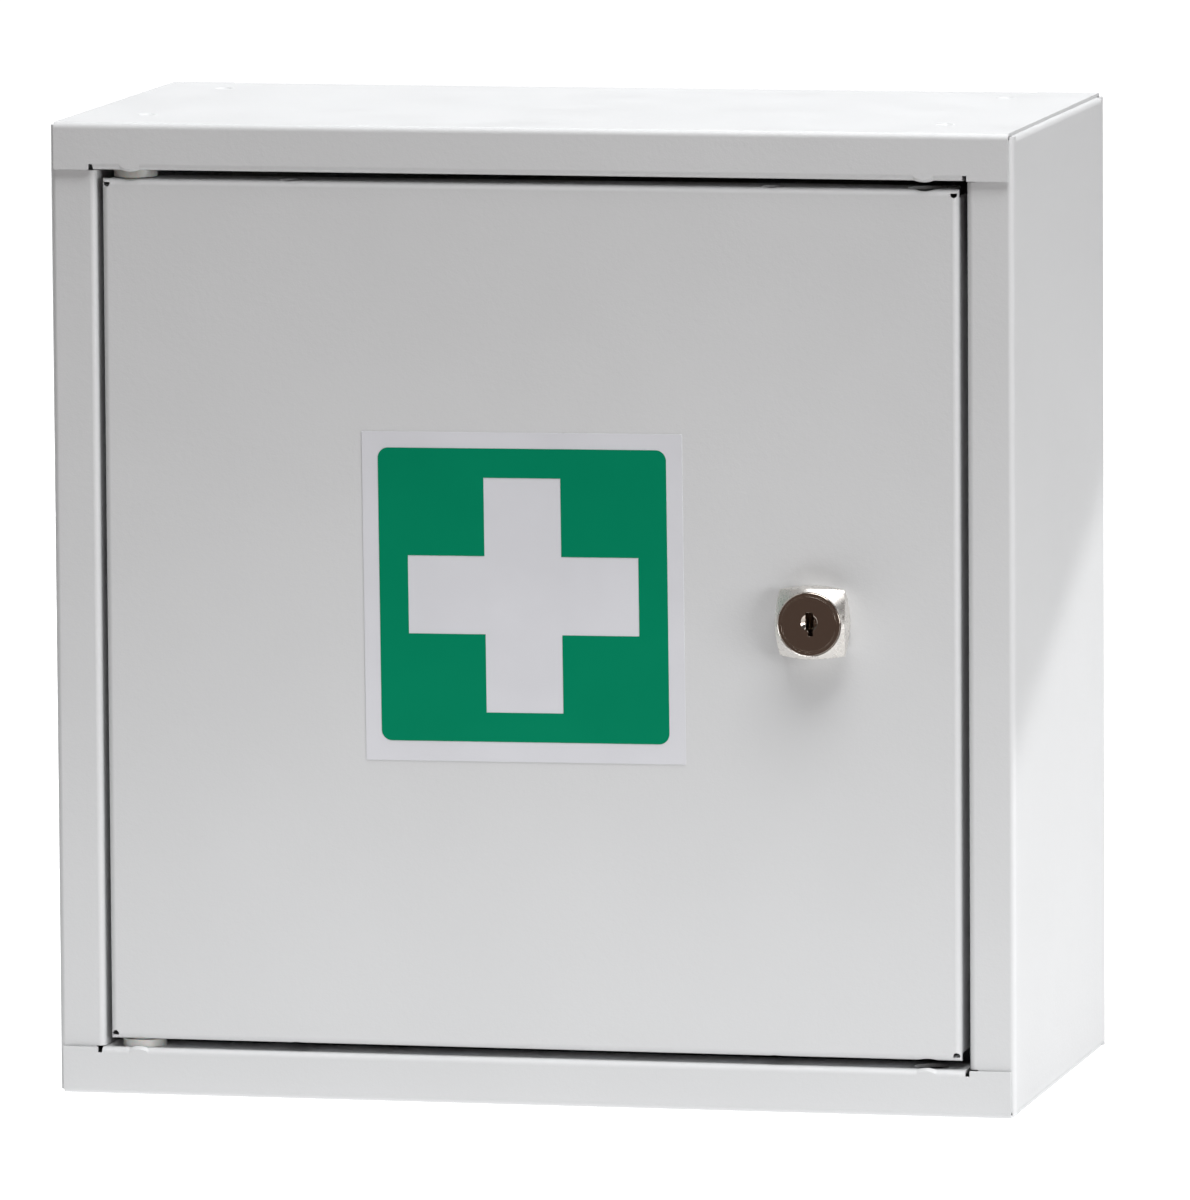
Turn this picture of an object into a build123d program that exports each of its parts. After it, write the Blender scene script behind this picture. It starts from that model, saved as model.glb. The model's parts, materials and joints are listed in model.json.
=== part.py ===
from build123d import *
import math
import os

os.makedirs("parts", exist_ok=True)

# Wall-hung steel medicine cabinet with one lockable door, hung on the left.
# Millimetres. Origin: centre of the underside. X to the right, Y to the back, Z up.

# ---------------------------------------------------------------- driving dimensions
width, depth, height = 300.0, 150.0, 300.0
sheet_t = 1.0              # steel sheet of the shell and the door
bend_in = 1.0              # inside radius of every bend
lap_stand = 0.4            # top and bottom flanges stand this far in front of the side rims

# Front rim and flanges of the shell
rim_w = 14.5               # visible width of the rim round the door
return_d = 15.0            # how far the rim is turned back beside the door
side_inset = 1.5           # top, bottom and back edges set in from the side faces
weld_flange_w = 30.0       # side panel flanges under the top and over the bottom
rear_flange_w = 20.0       # side panel flanges in front of the back panel
top_rear_flange_w = 14.0   # the same on the top and bottom panels
flange_gap = 1.0           # between flanges that end beside each other
corner_gap = 0.3           # between the side returns and the top and bottom ones
relief_w = 1.4             # square bend relief at the inner corners of the rim
relief_h = 1.7
return_short = 0.2         # top and bottom returns end before the sides of the opening
return_shift = -0.9        # and lie a little to the left
lap_gap = 0.2              # between the top panel's ends and the side panels' bends
end_relief = 2.0           # flange ends held back from the bends beside them
lip_w = 6.2                # the bend bulges in front of each pivot hole
lip_h = 0.6
lip_t = 1.4
weld_mark_d = 6.2          # shallow dents left by spot welding
weld_mark_floor_d = 5.6
weld_mark_depth = 0.45
weld_mark_in = 25.2        # from the side faces
weld_mark_shift = -1.7     # and a little to the left
weld_mark_front = 30.5     # front row, from the front face
weld_mark_rear = 22.6      # rear row, from the back face

# Back panel and its wall holes
back_inset = 2.0           # edges set in from the shell's outer faces
wall_hole_d = 7.0
wall_hole_span_x = 200.0
wall_hole_span_z = 200.0

# Shelf and its rails
shelf_top = 151.0
shelf_front_gap = 37.0     # from the front face
shelf_rear_gap = 5.0       # from the back face
shelf_edge_h = 12.0
shelf_side_play = 0.5
rail_leg = 12.0
rail_end_play = 3.0

# Door
door_gap_hinge = 1.8
door_gap_lock = 2.5
door_gap_z = 2.7           # above and below
door_flange = 15.0
door_corner_notch = 2.4    # flanges end before the corner
door_corner_hole_d = 2.1
door_corner_hole_in = 1.5
door_corner_hole_flat = 0.4  # flat side towards the door's top or bottom edge
drip_hole_d = 7.0          # drain holes in the door's top and bottom flanges
drip_hole_back = 4.5
drip_hole_span = 150.0

# Pivots: nylon bushes in the shell, nylon pins in the door, at top and bottom
pivot_in = 25.4            # from the left face
spare_pivot_in = 27.5      # from the right face, for a door hung on the right
pivot_back = 6.8           # behind the door's front
bush_hole_d = 10.6
bush_flange_d = 13.4
bush_spigot_h = 4.0
bush_snap = 0.4
pin_hole_d = 12.4
pin_head_d = 15.0
pin_head_h = 1.6
pin_d = 6.0
pin_play = 0.05            # radial, pin in bush
pivot_float = 0.3          # between bush flange and door
pin_tip_in = 0.6           # pin ends below the bush's top

# Keeper: the strip that the cam hooks behind, and the door's stop
keeper_reach = 28.0        # from the right face
keeper_leg = 12.0
keeper_h = 220.0
keeper_stand = 1.0         # lip behind the end of the door's flange
buffer_d = 6.0
buffer_play = 0.3
buffer_span = 190.0
buffer_in = 18.5           # from the right face

# Lock, centred on lock_in from the right face and at lock_z
lock_in = 61.5
lock_z = 151.2
head_half = 10.1           # half the distance between the head's corners
head_bulge = 0.66          # how far each side swells at its middle
head_h = 9.65
head_corner_h = 4.65       # height of the corners above the door
head_front_d = 19.9
head_seat_d = 21.4
barrel_d = 18.0
barrel_flat = 16.0
barrel_end = 17.0          # behind the door's front
barrel_play = 0.15
thread_pitch = 1.0
thread_cut = 0.45
nut_af = 22.0
nut_h = 5.0
nut_play = 0.05
tooth_washer_d = 25.0
tooth_washer_t = 0.8
tooth_count = 16
tooth_gap = 2.0
plug_face_d = 19.2
plug_face_h = 2.0
plug_d = 12.0
plug_play = 0.05           # radial
plug_end_play = 0.1
plug_ring_d = 17.4
plug_ring_w = 0.45
plug_ring_depth = 0.3
plug_edge = 0.15           # chamfer round the plug's face and its seat
keyhole_d = 5.2            # conical sink round the keyway, at the face
keyhole_floor_d = 3.0
keyhole_depth = 1.0
keyhole_up = 0.5           # sink above the plug's centre
keyway_w = 2.35
keyway_h = 7.2
keyway_step_w = 0.8
keyway_step_h = 1.6
keyway_depth = 18.0
wafer_count = 5
wafer_first = 3.2          # from the back of the plug's face
wafer_pitch = 2.4
wafer_t = 0.9
wafer_w = 6.8
wafer_h = 9.2
wafer_window_w = 3.2
wafer_window_h = 7.8
wafer_play = 0.05
wafer_ear_w = 1.4
wafer_ear_h = 0.8
spring_d = 0.9
spring_h = 3.0
cam_gap = 0.3              # barrel end to cam, and keeper to cam
cam_square = 7.0
cam_square_play = 0.05
cam_t = 2.0
square_short = 0.1         # the plug's square ends inside the cam, so that the screw clamps it
cam_boss_r = 9.0
cam_tip_r = 6.0
cam_reach = 39.0           # lock axis to the cam's tip
cam_washer_d = 12.0
cam_washer_t = 1.0
screw_d = 4.0
screw_play = 0.05
screw_head_d = 8.0
screw_head_h = 2.4
screw_len = 9.0
screw_hole_extra = 1.0     # hole deeper than the screw
screw_slot_w = 1.1
screw_slot_len = 5.0
screw_slot_depth = 1.3

# Label: a square sticker with a cross on a rounded field
label_w, label_h = 100.0, 101.0
label_t = 0.2
label_x = -2.3
label_z = 156.4
label_tilt = 0.4           # degrees, counter-clockwise from the front
field_w = 90.0
field_corner_r = 3.3
field_t = 0.1
field_up = 0.6             # field above the sticker's centre
cross_w = 72.0
cross_bar = 24.0

# ---------------------------------------------------------------- derived places
bend_out = bend_in + sheet_t
left_x, right_x = -width / 2, width / 2
front_y, back_y = -depth / 2, depth / 2
rim_y = front_y + sheet_t + lap_stand  # front of the side flanges and of the door
shell_back_y = back_y - sheet_t        # rear flanges, which carry the back panel
return_y = rim_y + return_d            # rear end of every return
opening_l, opening_r = left_x + rim_w, right_x - rim_w
opening_b, opening_t = rim_w, height - rim_w
panel_half = width / 2 - side_inset    # half the width of the top and bottom panels
mid_height = Plane.XY.offset(height / 2)

door_l, door_r = opening_l + door_gap_hinge, opening_r - door_gap_lock
door_b, door_t = opening_b + door_gap_z, opening_t - door_gap_z
door_y = rim_y
door_back_y = door_y + door_flange
door_in_y = door_y + sheet_t           # back of the door's front sheet

pivot_x = left_x + pivot_in
pivot_y = door_y + pivot_back
spare_pivot_x = right_x - spare_pivot_in

lock_x = right_x - lock_in
lock_axis = Axis((lock_x, door_y, lock_z), (0, 1, 0))


def facing_back(x, y, z):
    """Plane at a point, seen from the front, that extrudes to the back."""
    return Plane((x, y, z), x_dir=(1, 0, 0), z_dir=(0, 1, 0))


def facing_front(x, y, z, tilt=0.0):
    """Plane at a point that extrudes to the front, with local y up."""
    turn = math.radians(tilt)
    return Plane((x, y, z), x_dir=(math.cos(turn), 0, math.sin(turn)), z_dir=(0, -1, 0))


def bent_sheet(plane, corners, length):
    """Sheet whose outer face follows the corners, with its wall on their right."""
    with BuildSketch(plane) as profile:
        with BuildLine():
            FilletPolyline(*corners, radius=bend_out)
            offset(amount=sheet_t, side=Side.RIGHT)
        make_face()
    extrude(profile.sketch, amount=length)


def save(piece, name):
    piece.part.label = name
    export_step(piece.part, f"parts/{name}.step")


# ---------------------------------------------------------------- side panels
side_front_end = rim_y + bend_out + end_relief                 # where the weld flanges start
side_rear_end = shell_back_y - bend_out - end_relief
side_bottom, side_top = sheet_t, height - sheet_t
back_lap = bend_out + end_relief                               # rear flange beside the bend
return_b, return_t = opening_b + corner_gap, opening_t - corner_gap
rim_reach = opening_l - 2 * relief_w                           # rim edge behind the lapping flanges
lap_outer = left_x + side_inset - lap_gap
lap_len = opening_l - lap_outer

with BuildPart() as left_side_panel:
    # Rim beside the door: return, flange and the front of the outer face
    bent_sheet(
        Plane.XY.offset(return_b),
        [(opening_l, return_y), (opening_l, rim_y), (left_x, rim_y), (left_x, side_front_end)],
        return_t - return_b,
    )
    # Rim over the full height, where the top and bottom flanges lap over it
    bent_sheet(
        Plane.XY.offset(side_bottom),
        [(rim_reach, rim_y), (left_x, rim_y), (left_x, side_front_end)],
        side_top - side_bottom,
    )
    # Outer face with the rear flange
    bent_sheet(
        Plane.XY.offset(side_bottom + bend_out),
        [(left_x, side_front_end), (left_x, shell_back_y), (left_x + rear_flange_w, shell_back_y)],
        side_top - side_bottom - 2 * bend_out,
    )
    # Rear bend over the full height
    bent_sheet(
        Plane.XY.offset(side_bottom),
        [(left_x, side_rear_end), (left_x, shell_back_y), (left_x + back_lap, shell_back_y)],
        side_top - side_bottom,
    )
    # Outer face with the top and bottom weld flanges
    bent_sheet(
        facing_back(0, side_front_end, 0),
        [
            (left_x + weld_flange_w, -side_top),
            (left_x, -side_top),
            (left_x, -side_bottom),
            (left_x + weld_flange_w, -side_bottom),
        ],
        side_rear_end - side_front_end,
    )
    # The lapped ends of the rim stay clear of the bends of the top and bottom panels
    for z in (side_bottom, side_top - bend_in):
        with BuildSketch(Plane.XY.offset(z)):
            with Locations((lap_outer, rim_y)):
                Rectangle(lap_len, bend_out, align=(Align.MIN, Align.MIN))
        extrude(amount=bend_in, mode=Mode.SUBTRACT)

with BuildPart() as right_side_panel:
    mirror(left_side_panel.part, about=Plane.YZ)

save(left_side_panel, "left_side_panel")
save(right_side_panel, "right_side_panel")

# ---------------------------------------------------------------- top and bottom panels
top_rear_half = width / 2 - rear_flange_w - flange_gap
return_half = opening_r - return_short                         # half the length of the return
return_l, return_r = return_shift - return_half, return_shift + return_half
relief_centres = (return_l - relief_w / 2, return_r + relief_w / 2)
weld_marks_x = (left_x + weld_mark_in + weld_mark_shift, right_x - weld_mark_in + weld_mark_shift)
weld_marks_y = (front_y + weld_mark_front, back_y - weld_mark_rear)
rim_bend_y, rim_bend_z = front_y + bend_out, opening_t + bend_out


def facing_right(x):
    """Plane across the cabinet that extrudes to the right: local x to the back, local y up."""
    return Plane((x, 0, 0), x_dir=(0, 1, 0), z_dir=(1, 0, 0))


# Bulge round the bend of the flange, kept clear of the bush
with BuildPart() as lip:
    with BuildSketch(facing_back(0, rim_bend_y, rim_bend_z)):
        lip_in = bend_in + sheet_t / 2
        with BuildLine():
            ThreePointArc((-lip_w / 2, bend_out), (0, bend_out + lip_h), (lip_w / 2, bend_out))
            Polyline(
                (lip_w / 2, bend_out),
                (lip_w / 2, lip_in),
                (-lip_w / 2, lip_in),
                (-lip_w / 2, bend_out),
            )
        make_face()
    revolve(axis=Axis((0, rim_bend_y, rim_bend_z), (-1, 0, 0)), revolution_arc=90)
    with BuildSketch(facing_back(0, front_y, rim_bend_z)):
        Rectangle(2 * lip_w, 4 * bend_out)
    extrude(amount=lip_t, mode=Mode.INTERSECT)

with BuildPart() as top_panel:
    front_flange = [(front_y, opening_t), (front_y, height), (side_rear_end, height)]
    # Flat and front flange with the return, between the corner reliefs
    bent_sheet(facing_right(return_l), [(return_y, opening_t), *front_flange], 2 * return_half)
    # Both ends, where the flange laps over the side panels' rims
    for x, end in ((-panel_half, return_l), (return_r, panel_half)):
        bent_sheet(facing_right(x), front_flange, end - x)
    # Rear flange, between those of the side panels
    bent_sheet(
        facing_right(-top_rear_half),
        [
            (side_rear_end, height),
            (shell_back_y, height),
            (shell_back_y, height - top_rear_flange_w),
        ],
        2 * top_rear_half,
    )
    # Flat corners beside the rear flange
    with BuildSketch(Plane.XY.offset(side_top)):
        corner_w = panel_half - top_rear_half
        with Locations(*[(side * (panel_half - corner_w / 2), side_rear_end) for side in (-1, 1)]):
            Rectangle(
                corner_w, shell_back_y - side_rear_end, align=(Align.CENTER, Align.MIN)
            )
    extrude(amount=sheet_t)
    # Square reliefs at the ends of the return
    with BuildSketch(facing_back(0, front_y, 0)):
        with Locations(*[(x, -opening_t) for x in relief_centres]):
            Rectangle(relief_w, 2 * relief_h)
    extrude(amount=bend_out, mode=Mode.SUBTRACT)
    # Pivot holes in the return: the left one is used, the right one is spare
    with BuildSketch(Plane.XY.offset(opening_t)):
        with Locations((pivot_x, pivot_y), (spare_pivot_x, pivot_y)):
            Circle(bush_hole_d / 2)
    extrude(amount=sheet_t, mode=Mode.SUBTRACT)
    with Locations((pivot_x, 0, 0), (spare_pivot_x, 0, 0)):
        add(lip.part)
    # Spot-weld dents over the side panels' flanges
    with Locations(*[(x, y, height) for x in weld_marks_x for y in weld_marks_y]):
        Cone(
            weld_mark_floor_d / 2, weld_mark_d / 2, weld_mark_depth,
            align=(Align.CENTER, Align.CENTER, Align.MAX), mode=Mode.SUBTRACT,
        )

with BuildPart() as bottom_panel:
    mirror(top_panel.part, about=mid_height)

save(top_panel, "top_panel")
save(bottom_panel, "bottom_panel")

# ---------------------------------------------------------------- back panel
with BuildPart() as back_panel:
    with BuildSketch(facing_back(0, shell_back_y, height / 2)):
        Rectangle(width - 2 * back_inset, height - 2 * back_inset)
        with GridLocations(wall_hole_span_x, wall_hole_span_z, 2, 2):
            Circle(wall_hole_d / 2, mode=Mode.SUBTRACT)
    extrude(amount=sheet_t)

save(back_panel, "back_panel")

# ---------------------------------------------------------------- shelf and rails
shelf_front_y, shelf_rear_y = front_y + shelf_front_gap, back_y - shelf_rear_gap
shelf_half = width / 2 - sheet_t - shelf_side_play
shelf_under = shelf_top - sheet_t
rail_play = sheet_t + rail_end_play
rail_x = left_x + sheet_t

with BuildPart() as shelf:
    bent_sheet(
        facing_right(-shelf_half),
        [
            (shelf_front_y, shelf_top - shelf_edge_h),
            (shelf_front_y, shelf_top),
            (shelf_rear_y, shelf_top),
            (shelf_rear_y, shelf_top - shelf_edge_h),
        ],
        2 * shelf_half,
    )

with BuildPart() as left_shelf_rail:
    bent_sheet(
        facing_back(0, shelf_front_y + rail_play, 0),
        [(rail_x + rail_leg, -shelf_under), (rail_x, -shelf_under), (rail_x, rail_leg - shelf_under)],
        shelf_rear_y - shelf_front_y - 2 * rail_play,
    )

with BuildPart() as right_shelf_rail:
    mirror(left_shelf_rail.part, about=Plane.YZ)

save(shelf, "shelf")
save(left_shelf_rail, "left_shelf_rail")
save(right_shelf_rail, "right_shelf_rail")

# ---------------------------------------------------------------- door
door_w, door_h = door_r - door_l, door_t - door_b
door_mid_x, door_mid_z = (door_l + door_r) / 2, (door_b + door_t) / 2
corner_x = door_w / 2 - door_corner_notch / 2
corner_z = door_h / 2 - door_corner_notch / 2
hole_x, hole_z = door_w / 2 - door_corner_hole_in, door_h / 2 - door_corner_hole_in
hole_flat_z = hole_z + door_corner_hole_flat + door_corner_hole_in   # middle of what is left out

with BuildPart() as door_panel:
    # Shallow pan, open at the back, with bent front edges
    with BuildSketch(facing_back(door_mid_x, door_y, door_mid_z)):
        Rectangle(door_w, door_h)
    extrude(amount=door_flange)
    fillet(faces().sort_by(Axis.Y)[0].edges(), radius=bend_out)
    offset(amount=-sheet_t, openings=faces().sort_by(Axis.Y)[-1])
    # Open corners between the flanges
    with BuildSketch(facing_back(door_mid_x, door_y + bend_out, door_mid_z)):
        with GridLocations(2 * corner_x, 2 * corner_z, 2, 2):
            Rectangle(door_corner_notch, door_corner_notch)
    extrude(amount=door_flange, mode=Mode.SUBTRACT)
    # Relief holes right in the corners
    with BuildSketch(facing_back(door_mid_x, door_y, door_mid_z)):
        with GridLocations(2 * hole_x, 2 * hole_z, 2, 2):
            Circle(door_corner_hole_d / 2)
        with GridLocations(2 * hole_x, 2 * hole_flat_z, 2, 2):
            Rectangle(
                door_corner_hole_d, 2 * door_corner_hole_in, align=Align.CENTER, mode=Mode.SUBTRACT
            )
    extrude(amount=bend_out + sheet_t, mode=Mode.SUBTRACT)
    # Pivot holes and drain holes through the top and bottom flanges
    with BuildSketch(Plane.XY.offset(door_b)):
        with Locations((pivot_x, pivot_y), (spare_pivot_x, pivot_y)):
            Circle(pin_hole_d / 2)
        with Locations((0, door_y + drip_hole_back)):
            with GridLocations(drip_hole_span, 0, 2, 1):
                Circle(drip_hole_d / 2)
    extrude(amount=door_h, mode=Mode.SUBTRACT)
    # Lock hole with two flats, to keep the lock from turning
    with BuildSketch(facing_back(lock_x, door_y, lock_z)):
        Circle(barrel_d / 2 + barrel_play)
        Rectangle(barrel_flat + 2 * barrel_play, 2 * barrel_d, mode=Mode.INTERSECT)
    extrude(amount=sheet_t, mode=Mode.SUBTRACT)

save(door_panel, "door_panel")

# ---------------------------------------------------------------- pivots
pin_bore_r = pin_d / 2 + pin_play
bush_flange_h = door_gap_z - pivot_float
bush_top = opening_t + bush_spigot_h
pin_head_z = door_t - sheet_t

with BuildPart() as upper_pivot_bush:
    # Flange in the gap over the door, spigot up through the rim's return
    # and a snap rim above it, tapered so that it goes in
    with BuildSketch(Plane((pivot_x, pivot_y, opening_t), x_dir=(1, 0, 0), z_dir=(0, -1, 0))):
        with BuildLine():
            Polyline(
                (pin_bore_r, -bush_flange_h),
                (bush_flange_d / 2, -bush_flange_h),
                (bush_flange_d / 2, 0),
                (bush_hole_d / 2, 0),
                (bush_hole_d / 2, sheet_t),
                (bush_hole_d / 2 + bush_snap, sheet_t),
                (bush_hole_d / 2 - bush_snap, bush_spigot_h),
                (pin_bore_r, bush_spigot_h),
                close=True,
            )
        make_face()
    revolve(axis=Axis((pivot_x, pivot_y, opening_t), (0, 0, 1)))

with BuildPart() as upper_pivot_pin:
    # Head under the door's flange, with a flat beside the bend
    with BuildSketch(Plane.XY.offset(pin_head_z)):
        with Locations((pivot_x, pivot_y)):
            Circle(pin_head_d / 2)
        with Locations((pivot_x, door_in_y + bend_in)):
            Rectangle(
                pin_head_d, pin_head_d, align=(Align.CENTER, Align.MIN), mode=Mode.INTERSECT
            )
    extrude(amount=-pin_head_h)
    # Shoulder in the flange's hole, and journal up into the bush
    for radius, top in ((pin_hole_d / 2, door_t), (pin_d / 2, bush_top - pin_tip_in)):
        with BuildSketch(Plane.XY.offset(pin_head_z)):
            with Locations((pivot_x, pivot_y)):
                Circle(radius)
        extrude(amount=top - pin_head_z)
    chamfer(faces().sort_by(Axis.Z)[-1].edges(), length=pin_tip_in)

with BuildPart() as lower_pivot_bush:
    mirror(upper_pivot_bush.part, about=mid_height)

with BuildPart() as lower_pivot_pin:
    mirror(upper_pivot_pin.part, about=mid_height)

save(upper_pivot_bush, "upper_pivot_bush")
save(upper_pivot_pin, "upper_pivot_pin")
save(lower_pivot_bush, "lower_pivot_bush")
save(lower_pivot_pin, "lower_pivot_pin")

# ---------------------------------------------------------------- keeper and buffers
keeper_y = door_back_y + keeper_stand                          # front of the lip
keeper_back_y = keeper_y + sheet_t
keeper_leg_x = opening_r + 2 * sheet_t                         # outer face of the leg
buffer_h = keeper_stand - buffer_play

with BuildPart() as lock_keeper:
    # Leg behind the right return, lip turned in behind the door's edge
    bent_sheet(
        Plane.XY.offset((height - keeper_h) / 2),
        [
            (right_x - keeper_reach, keeper_back_y),
            (keeper_leg_x, keeper_back_y),
            (keeper_leg_x, keeper_back_y - keeper_leg),
        ],
        keeper_h,
    )

with BuildPart() as door_buffers:
    # Two soft pads on the lip, where the door's flange comes to rest
    with BuildSketch(facing_front(right_x - buffer_in, keeper_y, height / 2)):
        with GridLocations(0, buffer_span, 1, 2):
            Circle(buffer_d / 2)
    extrude(amount=buffer_h)

save(lock_keeper, "lock_keeper")
save(door_buffers, "door_buffers")

# ---------------------------------------------------------------- lock housing
barrel_r = barrel_d / 2
corner_r = head_half * math.sqrt(2)
side_mid = head_half + head_bulge
head_front_y = door_y - head_h
plug_seat_h = plug_face_h + plug_end_play
thread_start = sheet_t + tooth_washer_t
thread_count = int((barrel_end - thread_start) / thread_pitch)


def lathe_plane():
    """Plane through the lock's axis: local x is the radius, local y the depth behind the door."""
    return Plane((lock_x, door_y, lock_z))


with BuildPart() as lock_housing:
    # Turned blank of the head, bevelled to the front and to the back
    with BuildSketch(lathe_plane()):
        with BuildLine():
            Polyline(
                (0, -head_h),
                (head_front_d / 2, -head_h),
                (corner_r, -head_corner_h),
                (head_seat_d / 2, 0),
                (0, 0),
                close=True,
            )
        make_face()
    revolve(axis=lock_axis)
    # Square outline with swelling sides
    with BuildSketch(facing_front(lock_x, door_y, lock_z)):
        with BuildLine():
            for a, b in ((1, 1), (-1, 1), (-1, -1), (1, -1)):
                middle = (0, b * side_mid) if a == b else (a * side_mid, 0)
                ThreePointArc(
                    (a * head_half, b * head_half), middle, (-b * head_half, a * head_half)
                )
        make_face()
    extrude(amount=head_h, mode=Mode.INTERSECT)
    # Barrel behind the door, with thread grooves
    with BuildSketch(lathe_plane()):
        with BuildLine():
            outline = [(0, 0), (barrel_r, 0), (barrel_r, thread_start)]
            for i in range(thread_count):
                crest = thread_start + i * thread_pitch
                outline.append((barrel_r - thread_cut, crest + thread_pitch / 2))
                outline.append((barrel_r, crest + thread_pitch))
            outline += [(barrel_r, barrel_end), (0, barrel_end)]
            Polyline(*dict.fromkeys(outline), close=True)
        make_face()
    revolve(axis=lock_axis)
    # Two flats along the barrel
    with BuildSketch(facing_back(lock_x, door_y, lock_z)):
        for side, align in ((-1, Align.MAX), (1, Align.MIN)):
            with Locations((side * barrel_flat / 2, 0)):
                Rectangle(barrel_d, 2 * barrel_d, align=(align, Align.CENTER))
    extrude(amount=barrel_end, mode=Mode.SUBTRACT)
    # Seat for the plug's face, and the bore through the barrel
    with BuildSketch(lathe_plane()):
        seat_r, bore_r = plug_face_d / 2 + plug_play, plug_d / 2 + plug_play
        with BuildLine():
            Polyline(
                (0, -head_h),
                (seat_r + plug_edge, -head_h),
                (seat_r, plug_edge - head_h),
                (seat_r, plug_seat_h - head_h),
                (bore_r, plug_seat_h - head_h),
                (bore_r, barrel_end),
                (0, barrel_end),
                close=True,
            )
        make_face()
    revolve(axis=lock_axis, mode=Mode.SUBTRACT)

with BuildPart() as tooth_washer:
    # Washer with teeth round its rim, between the door and the nut
    with BuildSketch(facing_back(lock_x, door_in_y, lock_z)):
        Circle(tooth_washer_d / 2)
        Circle(barrel_r + nut_play, mode=Mode.SUBTRACT)
        with PolarLocations(tooth_washer_d / 2, tooth_count):
            Rectangle(tooth_gap, tooth_gap, rotation=45, mode=Mode.SUBTRACT)
    extrude(amount=tooth_washer_t)

with BuildPart() as lock_nut:
    with BuildSketch(facing_back(lock_x, door_y + thread_start, lock_z)):
        RegularPolygon(nut_af / 2, 6, major_radius=False)
        Circle(barrel_r + nut_play, mode=Mode.SUBTRACT)
    extrude(amount=nut_h)

save(lock_housing, "lock_housing")
save(tooth_washer, "tooth_washer")
save(lock_nut, "lock_nut")

# ---------------------------------------------------------------- plug, wafers and springs
shank_end = barrel_end + cam_gap                               # behind the door's front
plug_back_y = head_front_y + plug_face_h
wafer_slots_y = [plug_back_y + wafer_first + i * wafer_pitch for i in range(wafer_count)]
ear_x = wafer_w / 2
ear_mid_x = ear_x + wafer_ear_w / 2
cam_y = door_y + shank_end
cam_back_y = cam_y + cam_t
screw_seat_y = cam_back_y + cam_washer_t
screw_hole_y = screw_seat_y - screw_len - screw_hole_extra

with BuildPart() as lock_plug:
    # Face and shank
    with BuildSketch(lathe_plane()):
        with BuildLine():
            Polyline(
                (0, -head_h),
                (plug_face_d / 2 - plug_edge, -head_h),
                (plug_face_d / 2, plug_edge - head_h),
                (plug_face_d / 2, plug_face_h - head_h),
                (plug_d / 2, plug_face_h - head_h),
                (plug_d / 2, shank_end),
                (0, shank_end),
                close=True,
            )
        make_face()
    revolve(axis=lock_axis)
    # Ring line turned in the face
    with BuildSketch(facing_back(lock_x, head_front_y, lock_z)):
        Circle(plug_ring_d / 2)
        Circle(plug_ring_d / 2 - plug_ring_w, mode=Mode.SUBTRACT)
    extrude(amount=plug_ring_depth, mode=Mode.SUBTRACT)
    # Conical sink and stepped keyway
    with BuildSketch(Plane((lock_x, head_front_y, lock_z + keyhole_up))):
        with BuildLine():
            Polyline(
                (0, 0),
                (keyhole_d / 2, 0),
                (keyhole_floor_d / 2, keyhole_depth),
                (0, keyhole_depth),
                close=True,
            )
        make_face()
    revolve(axis=Axis((lock_x, head_front_y, lock_z + keyhole_up), (0, 1, 0)), mode=Mode.SUBTRACT)
    with BuildSketch(facing_back(lock_x, head_front_y, lock_z)):
        Rectangle(keyway_w, keyway_h)
        with Locations((-keyway_w / 2, keyway_h / 2)):
            Rectangle(keyway_step_w, keyway_step_h, align=(Align.MIN, Align.MAX), mode=Mode.SUBTRACT)
    extrude(amount=keyway_depth, mode=Mode.SUBTRACT)
    # Chambers for the wafers, each with a side pocket for its spring
    for slot_y in wafer_slots_y:
        with BuildSketch(facing_front(lock_x, slot_y + wafer_t + wafer_play, lock_z)):
            Rectangle(wafer_w + 2 * wafer_play, 2 * plug_d)
            with Locations((0, -spring_h / 2)):
                Rectangle(
                    ear_x + wafer_ear_w + wafer_play,
                    spring_h + wafer_ear_h + wafer_play,
                    align=(Align.MIN, Align.MIN),
                )
        extrude(amount=wafer_t + 2 * wafer_play, mode=Mode.SUBTRACT)
    # Square end for the cam, and the hole for its screw
    with BuildSketch(facing_back(lock_x, cam_y, lock_z)):
        Rectangle(cam_square, cam_square)
    extrude(amount=cam_t - square_short)
    with BuildSketch(facing_back(lock_x, screw_hole_y, lock_z)):
        Circle(screw_d / 2 + screw_play)
    extrude(amount=screw_len + screw_hole_extra, mode=Mode.SUBTRACT)

with BuildPart() as lock_wafers:
    for slot_y in wafer_slots_y:
        with BuildSketch(facing_front(lock_x, slot_y + wafer_t, lock_z)):
            Rectangle(wafer_w, wafer_h)
            Rectangle(wafer_window_w, wafer_window_h, mode=Mode.SUBTRACT)
            with Locations((ear_x, spring_h / 2)):
                Rectangle(wafer_ear_w, wafer_ear_h, align=(Align.MIN, Align.MIN))
        extrude(amount=wafer_t)

with BuildPart() as wafer_springs:
    with BuildSketch(Plane.XY.offset(lock_z - spring_h / 2)):
        with Locations(*[(lock_x + ear_mid_x, y + wafer_t / 2) for y in wafer_slots_y]):
            Circle(spring_d / 2)
    extrude(amount=spring_h)

save(lock_plug, "lock_plug")
save(lock_wafers, "lock_wafers")
save(wafer_springs, "wafer_springs")

# ---------------------------------------------------------------- cam and its screw
with BuildPart() as lock_cam:
    # Points up when unlocked
    with BuildSketch(facing_front(lock_x, cam_back_y, lock_z)):
        Circle(cam_boss_r)
        with Locations((0, cam_reach - cam_tip_r)):
            Circle(cam_tip_r)
        make_hull()
        Rectangle(
            cam_square + 2 * cam_square_play, cam_square + 2 * cam_square_play, mode=Mode.SUBTRACT
        )
    extrude(amount=cam_t)

with BuildPart() as cam_washer:
    with BuildSketch(facing_back(lock_x, cam_back_y, lock_z)):
        Circle(cam_washer_d / 2)
        Circle(screw_d / 2 + screw_play, mode=Mode.SUBTRACT)
    extrude(amount=cam_washer_t)

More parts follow.
